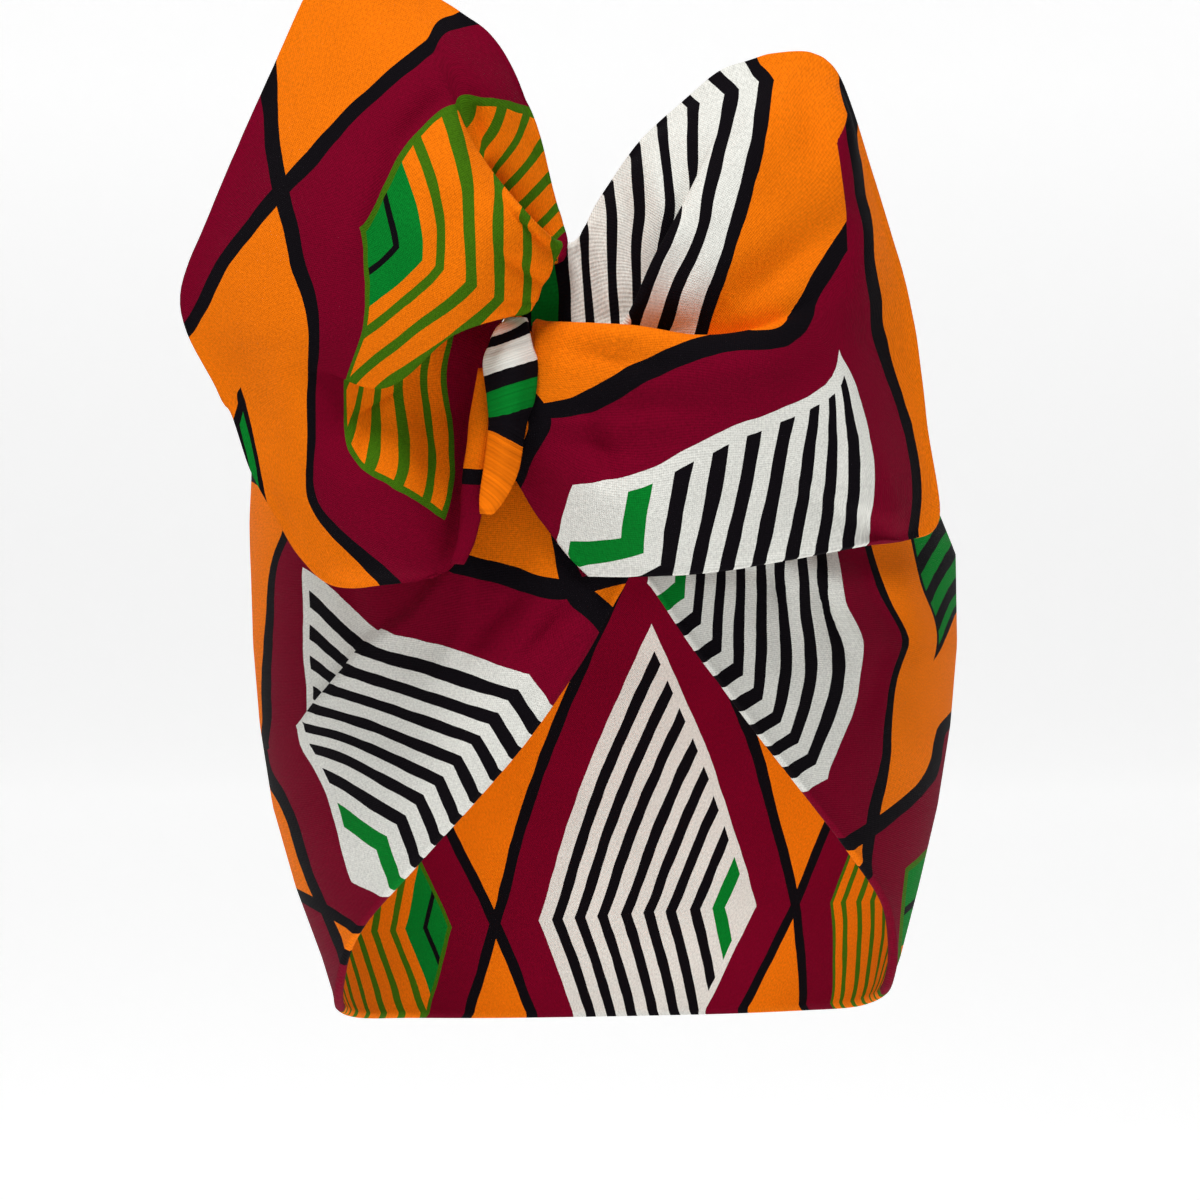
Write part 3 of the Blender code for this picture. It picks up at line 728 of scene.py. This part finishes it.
def wall_from_grid(grid):
    """Give a grid of places the cloth's thickness and its hems, as a closed wall's parts."""
    along_rows = np.gradient(grid, axis=0)
    along_columns = np.gradient(grid, axis=1)
    normal = np.cross(along_rows, along_columns)
    normal /= np.linalg.norm(normal, axis=-1, keepdims=True)
    edge = edge_distance(grid)[..., None]
    bead = np.exp(-((edge - BEAD_FROM_EDGE) / BEAD_WIDTH)**2)
    half = CLOTH_THICKNESS / 2 + BEAD_HEIGHT * bead
    half = half * np.sqrt(np.clip(edge / EDGE_ROUND, EDGE_THINNEST, 1.0))
    points = np.concatenate([(grid + normal * half).reshape(-1, 3),
                             (grid - normal * half).reshape(-1, 3)])
    count_rows, count_columns = grid.shape[:2]
    back = count_rows * count_columns
    index = np.arange(back).reshape(count_rows, count_columns)
    front_faces = np.stack([index[:-1, :-1], index[1:, :-1], index[1:, 1:], index[:-1, 1:]],
                           axis=-1).reshape(-1, 4)
    back_faces = front_faces[:, ::-1] + back
    edge_ring = np.concatenate([index[:, 0], index[-1, 1:], index[-2::-1, -1], index[0, -2:0:-1]])
    there = np.roll(edge_ring, -1)
    rim_faces = np.stack([there, edge_ring, back + edge_ring, back + there], axis=-1)
    return points, np.concatenate([front_faces, back_faces, rim_faces])


def cloth_piece(name, grid, prints, material):
    """A wall of cloth with its print.

    prints holds the cells, the cells of a stretch that lies over them, and how far inside that
    stretch each place is.
    """
    points, faces = wall_from_grid(grid)
    mesh = bpy.data.meshes.new(name)
    mesh.from_pydata((points * MM).tolist(), [], faces.tolist())
    corners = np.empty(len(mesh.loops), dtype=np.int32)
    mesh.loops.foreach_get("vertex_index", corners)
    cells, cells_over, over = prints
    for layer_name, values in (("cells", cells), ("cells_over", cells_over),
                               ("over", np.stack([over, 0 * over], axis=-1))):
        layer = mesh.uv_layers.new(name=layer_name)
        flat_values = values.reshape(-1, 2)
        both_sides = np.concatenate([flat_values, flat_values])
        layer.data.foreach_set("uv", both_sides[corners].astype(np.float32).ravel())
    mesh.update()
    mesh.shade_smooth()
    piece = bpy.data.objects.new(name, mesh)
    piece.data.materials.append(material)
    bpy.context.scene.collection.objects.link(piece)
    return piece


def set_inputs(node, values):
    """Give a shader node's sockets their values, by their names."""
    for name, value in values.items():
        node.inputs[name].default_value = value


class NodeWriter:
    """Short ways to add shader nodes to one material."""

    def __init__(self, material):
        self.tree = material.node_tree

    def add(self, kind, **settings):
        node = self.tree.nodes.new(kind)
        for key, value in settings.items():
            setattr(node, key, value)
        return node

    def link(self, source, target):
        """Join two sockets, or set the target to a number or a colour."""
        if isinstance(source, (int, float)):
            target.default_value = source
        elif isinstance(source, tuple):
            target.default_value = (*source, 1.0)
        else:
            self.tree.links.new(source, target)

    def math(self, operation, *values):
        node = self.add("ShaderNodeMath", operation=operation)
        for value, socket in zip(values, node.inputs):
            self.link(value, socket)
        return node.outputs[0]

    def mix(self, factor, first, second):
        node = self.add("ShaderNodeMix", data_type="RGBA")
        for value, socket in ((factor, "Factor"), (first, 6), (second, 7)):
            self.link(value, node.inputs[socket])
        return node.outputs[2]

    def parts(self, vector):
        node = self.add("ShaderNodeSeparateXYZ")
        self.link(vector, node.inputs[0])
        return node.outputs

    def vector(self, operation, first):
        node = self.add("ShaderNodeVectorMath", operation=operation)
        self.link(first, node.inputs[0])
        return node

    def noise(self, place, scale, detail, roughness=0.5):
        node = self.add("ShaderNodeTexNoise", noise_dimensions="2D")
        set_inputs(node, {"Scale": scale, "Detail": detail, "Roughness": roughness})
        self.link(place, node.inputs["Vector"])
        return node

    def stripes(self, place, stops):
        """A colour by place, with hard steps at the given places."""
        node = self.add("ShaderNodeValToRGB")
        ramp = node.color_ramp
        ramp.interpolation = "CONSTANT"
        while len(ramp.elements) > 1:
            ramp.elements.remove(ramp.elements[-1])
        ramp.elements[0].position = stops[0][0]
        ramp.elements[0].color = (*stops[0][1], 1.0)
        for position, colour in stops[1:]:
            element = ramp.elements.new(position)
            element.color = (*colour, 1.0)
        self.link(place, node.inputs[0])
        return node.outputs[0]


# A blunt motif ends where p and q in its cell add up to this, short of the cell's upper corner.
BLUNT_CORNER = 1.70
STRIPE_PITCH = 7.6
STRIPE_WIDTH = 3.5
FIRST_STRIPE = 4.0

# The hand-cut wobble of the printed lines: waves in a cell, and how far a line moves in cells.
WOBBLE_SCALE = 14.0
WOBBLE_SHIFT = 0.007

# The plain weave and the cotton's uneven colour, per millimetre of cloth.
THREAD_PITCH = 0.62
SPECKLE_SCALE = 1.6
CLOUD_SCALE = 0.05
WEAVE_TONE = 0.10
SPECKLE_TONE = 0.75
CLOUD_TONE = 0.16
WEAVE_RELIEF = 0.5
SPECKLE_RELIEF = 0.9
RELIEF_STRENGTH = 0.6
RELIEF_DEPTH = 0.0002
COTTON_ROUGHNESS = 0.8
COTTON_SPECULAR = 0.04


def chevron_stops(ground, stripe, count, ending, first=FIRST_STRIPE, width=STRIPE_WIDTH):
    """Colours by depth into a motif: stripes on a ground, then the ending's own bands."""
    stops = [(0.0, ground)]
    for number in range(count):
        start = first + number * STRIPE_PITCH
        stops.append((start / CELL_HEIGHT, stripe))
        stops.append(((start + width) / CELL_HEIGHT, ground))
    for depth, colour in ending:
        stops.append((depth / CELL_HEIGHT, colour))
    return stops


def motif_kinds():
    """The four kinds of cell: the cell's ground, the margin round its motif as a share of the
    cell, the outline's width and colour, and the motif's chevrons."""
    after_seven = FIRST_STRIPE + 7 * STRIPE_PITCH
    return {
        "maroon_white": dict(
            ground=MAROON, margin=0.14, outline=2.6, outline_colour=WHITE,
            stops=chevron_stops(WHITE, BLACK, 7,
                                [(after_seven, GREEN), (after_seven + 4.2, WHITE)])),
        "maroon_orange": dict(
            ground=MAROON, margin=0.14, outline=1.3, outline_colour=LEAF_GREEN,
            stops=chevron_stops(ORANGE, LEAF_GREEN, 7,
                                [(after_seven - 1, GREEN), (after_seven + 5, BLACK),
                                 (after_seven + 6.7, GREEN)], first=4.4, width=2.6)),
        "orange_white": dict(
            ground=ORANGE, margin=0.19, outline=2.9, outline_colour=BLACK,
            inner_margin=0.13, blunt_corner=BLUNT_CORNER,
            stops=chevron_stops(WHITE, BLACK, 6, [(52.6, BLACK), (56.8, GREEN)], first=7.4,
                                width=2.9)),
        "orange_leaf": dict(
            ground=ORANGE, margin=0.25, outline=1.8, outline_colour=BLACK,
            stops=chevron_stops(GREEN, BLACK, 5, [])),
    }


def print_material(name):
    """Waxed cotton: the print by cells, its lines a little uneven, on a plain weave."""
    material = bpy.data.materials.new(name)
    material.use_nodes = True
    write = NodeWriter(material)
    shader = write.tree.nodes["Principled BSDF"]
    uv = write.add("ShaderNodeMix", data_type="VECTOR")
    over = write.parts(write.add("ShaderNodeUVMap", uv_map="over").outputs[0])
    write.link(write.math("GREATER_THAN", over[0], 0.0), uv.inputs["Factor"])
    write.link(write.add("ShaderNodeUVMap", uv_map="cells").outputs[0], uv.inputs[4])
    write.link(write.add("ShaderNodeUVMap", uv_map="cells_over").outputs[0], uv.inputs[5])
    place_on_print = uv.outputs[1]

    wobble = write.noise(place_on_print, WOBBLE_SCALE, 1.0)
    centred = write.vector("SUBTRACT", wobble.outputs["Color"])
    centred.inputs[1].default_value = (0.5, 0.5, 0.5)
    scaled = write.vector("SCALE", centred.outputs[0])
    scaled.inputs["Scale"].default_value = WOBBLE_SHIFT
    moved = write.vector("ADD", place_on_print)
    write.link(scaled.outputs[0], moved.inputs[1])
    p, q = write.parts(moved.outputs[0])[:2]

    def in_cell(place):
        """Where in its cell a place is, if that cell is an odd one, and how near its sides are."""
        part = write.math("FLOORED_MODULO", place, 1.0)
        odd = write.math("GREATER_THAN", write.math("FLOORED_MODULO", place, 2.0), 1.0)
        return part, odd, write.math("MINIMUM", part, write.math("SUBTRACT", 1.0, part))

    part_p, odd_p, to_side_p = in_cell(p)
    part_q, odd_q, to_side_q = in_cell(q)
    to_side = write.math("MINIMUM", to_side_p, to_side_q)

    def cell_colour(kind):
        margin = kind["margin"]
        from_p = write.math("SUBTRACT", 1.0 - margin, part_p)
        from_q = write.math("SUBTRACT", part_q, margin)
        depth = write.math("MINIMUM", from_p, from_q)
        motif = write.stripes(depth, kind["stops"])
        longer = margin - kind.get("inner_margin", margin)
        inner_p = write.math("MINIMUM", write.math("ADD", part_p, longer),
                             write.math("SUBTRACT", 1.0, part_p))
        inner_q = write.math("MINIMUM", part_q, write.math("SUBTRACT", 1.0 + longer, part_q))
        to_rim = write.math("MINIMUM", inner_p, inner_q)
        if "blunt_corner" in kind:
            to_corner = write.math("SUBTRACT", kind["blunt_corner"],
                                   write.math("ADD", part_p, part_q))
            to_rim = write.math("MINIMUM", to_rim, to_corner)
        rim = margin + kind["outline"] / CELL_HEIGHT
        outlined = write.mix(write.math("LESS_THAN", to_rim, rim), motif,
                             kind["outline_colour"])
        return write.mix(write.math("LESS_THAN", to_rim, margin), outlined, kind["ground"])

    kinds = motif_kinds()
    even_row = write.mix(odd_p, cell_colour(kinds["maroon_white"]),
                         cell_colour(kinds["orange_leaf"]))
    odd_row = write.mix(odd_p, cell_colour(kinds["orange_white"]),
                        cell_colour(kinds["maroon_orange"]))
    printed = write.mix(odd_q, even_row, odd_row)
    line = write.math("LESS_THAN", to_side, CELL_LINE / 2 / CELL_HEIGHT)
    printed = write.mix(line, printed, BLACK)

    plain_p, plain_q = write.parts(place_on_print)[:2]
    along = write.math("MULTIPLY", write.math("SUBTRACT", plain_p, plain_q), CELL_WIDTH / 2)
    upward = write.math("MULTIPLY", write.math("ADD", plain_p, plain_q), CELL_LENGTH / 2)
    thread = 2 * math.pi / THREAD_PITCH
    warp = write.math("SINE", write.math("MULTIPLY", along, thread))
    weft = write.math("SINE", write.math("MULTIPLY", upward, thread))
    weave = write.math("MULTIPLY", warp, weft)
    place = write.add("ShaderNodeCombineXYZ")
    write.link(along, place.inputs[0])
    write.link(upward, place.inputs[1])
    speckle = write.noise(place.outputs[0], SPECKLE_SCALE, 4.0, roughness=0.7)
    cloud = write.noise(place.outputs[0], CLOUD_SCALE, 3.0)

    tone = write.math("MULTIPLY", weave, WEAVE_TONE)
    for noise, share in ((speckle, SPECKLE_TONE), (cloud, CLOUD_TONE)):
        either_way = write.math("SUBTRACT", noise.outputs[0], 0.5)
        tone = write.math("ADD", tone, write.math("MULTIPLY", either_way, share))
    tone = write.math("ADD", tone, 1.0)
    tinted = write.vector("SCALE", printed)
    write.link(tone, tinted.inputs["Scale"])
    write.link(tinted.outputs[0], shader.inputs["Base Color"])

    height = write.math("ADD", write.math("MULTIPLY", weave, WEAVE_RELIEF),
                        write.math("MULTIPLY", speckle.outputs[0], SPECKLE_RELIEF))
    bump = write.add("ShaderNodeBump")
    set_inputs(bump, {"Strength": RELIEF_STRENGTH, "Distance": RELIEF_DEPTH})
    write.link(height, bump.inputs["Height"])
    write.link(bump.outputs[0], shader.inputs["Normal"])
    set_inputs(shader, {"Roughness": COTTON_ROUGHNESS, "Specular IOR Level": COTTON_SPECULAR})
    return material


def one_print(cells):
    """The prints of a piece that has one stretch only."""
    return cells, cells, np.full(cells.shape[:-1], -1.0)


def dress(piece, node):
    """Hang a piece on the root body, and hide the CAD node that it stands for."""
    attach(piece, "root")
    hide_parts(node)


def build_wrap():
    """The five pieces of cloth, each in the place of its CAD node."""
    cotton = print_material("wax_print_cotton")
    stations, share, grid = band_grid()
    band = cloth_piece("band_cloth", grid, band_print(stations, share, grid), cotton)
    dress(band, "head_band")

    ribs_at, grid = ear_grid(EAR_LEFT_RIBS, WRINKLES_EAR_LEFT)
    left = cloth_piece("ear_left_cloth", grid, one_print(ear_left_print(ribs_at, grid)), cotton)
    dress(left, "ear_left")

    ribs_at, grid = ear_grid(EAR_RIGHT_RIBS, WRINKLES_EAR_RIGHT)
    right = cloth_piece("ear_right_cloth", grid, ear_right_print(ribs_at, grid), cotton)
    dress(right, "ear_right")

    side, up, grid = strand_grid(KNOT_STRAP_ROWS)
    slant = STRAP_SLANT_DOWN + (STRAP_SLANT_UP - STRAP_SLANT_DOWN) * ease(up, *STRAP_MIDDLE)
    slanted = up - slant * side
    along = np.interp(slanted, *np.array(PRINT_STRAP, dtype=float).T)
    cells = np.stack([along, STRAP_Q + 0 * slanted], axis=-1)
    strap = cloth_piece("strap_cloth", grid, one_print(cells), cotton)
    dress(strap, "knot_strap")

    side, up, grid = strand_grid(KNOT_FOLD_ROWS)
    along = np.interp(up, *np.array(PRINT_FOLD, dtype=float).T)
    cells = np.stack([along + 0 * side, FOLD_Q + FOLD_Q_ACROSS * side + 0 * up], axis=-1)
    fold = cloth_piece("fold_cloth", grid, one_print(cells), cotton)
    dress(fold, "knot_fold")


def plain_material(name, colour, roughness):
    material = bpy.data.materials.new(name)
    material.use_nodes = True
    shader = material.node_tree.nodes["Principled BSDF"]
    set_inputs(shader, {"Base Color": (*colour, 1.0), "Roughness": roughness})
    return material


def studio():
    """A pale floor that turns up into a wall, in one sheet."""
    floor_height = -0.30
    front, wall, turn, top = -2.2, 2.4, 0.5, 3.4
    half = 4.0
    turn_steps = 16
    glow_strength = 0.38
    profile = [(front, floor_height)]
    for step in range(turn_steps + 1):
        angle = math.pi / 2 * step / turn_steps
        profile.append((wall - turn + turn * math.sin(angle),
                        floor_height + turn - turn * math.cos(angle)))
    profile.append((wall, top))
    points = [(side * half, y, z) for y, z in profile for side in (-1, 1)]
    faces = [(2 * i, 2 * i + 1, 2 * i + 3, 2 * i + 2) for i in range(len(profile) - 1)]
    mesh = bpy.data.meshes.new("studio_sweep")
    mesh.from_pydata(points, [], faces)
    mesh.shade_smooth()
    sweep = bpy.data.objects.new("studio_sweep", mesh)
    pale = plain_material("studio_pale", (0.9, 0.9, 0.9), 0.9)
    set_inputs(pale.node_tree.nodes["Principled BSDF"],
               {"Emission Color": (1, 1, 1, 1), "Emission Strength": glow_strength})
    sweep.data.materials.append(pale)
    bpy.context.scene.collection.objects.link(sweep)


def soft_light(name, place, aim, size, power):
    """A round soft light. Size is its diameter in metres and power is in watts."""
    light = bpy.data.lights.new(name, "AREA")
    light.shape = "DISK"
    light.size = size
    light.energy = power
    lamp = bpy.data.objects.new(name, light)
    bpy.context.scene.collection.objects.link(lamp)
    lamp.location = place
    lamp.rotation_euler = (Vector(aim) - Vector(place)).to_track_quat("-Z", "Y").to_euler()


def lights():
    """A key light from above, a weak fill from the right, and pale air all round."""
    air_strength = 0.24
    soft_light("key", place=(-0.25, -0.85, 1.55), aim=(0, 0, 0.03), size=0.55, power=24)
    soft_light("fill", place=(1.4, -1.3, 0.3), aim=(0, 0, 0), size=1.2, power=2)
    world = bpy.data.worlds.new("studio_air")
    world.use_nodes = True
    set_inputs(world.node_tree.nodes["Background"],
               {"Color": (1, 1, 1, 1), "Strength": air_strength})
    bpy.context.scene.world = world


def camera():
    """The photograph's eye: its height over the horizon, its scale and where the origin lies."""
    sensor_width = 36.0
    eye = bpy.data.cameras.new("photo_eye")
    eye.sensor_fit = "HORIZONTAL"
    eye.sensor_width = sensor_width
    eye.lens = sensor_width * EYE_DISTANCE * PIXELS_PER_MM / PHOTO_SIZE
    eye.shift_x = (PHOTO_SIZE / 2 - ORIGIN_PIXEL_X) / PHOTO_SIZE
    holder = bpy.data.objects.new("photo_eye", eye)
    holder.location = (0, -EYE_LEVEL * MM, EYE_RISE * MM)
    holder.rotation_euler = (math.pi / 2 - EYE_ELEVATION, 0, 0)
    bpy.context.scene.collection.objects.link(holder)
    bpy.context.scene.camera = holder


bpy.context.scene.view_settings.view_transform = "Standard"
build_wrap()
studio()
lights()
camera()
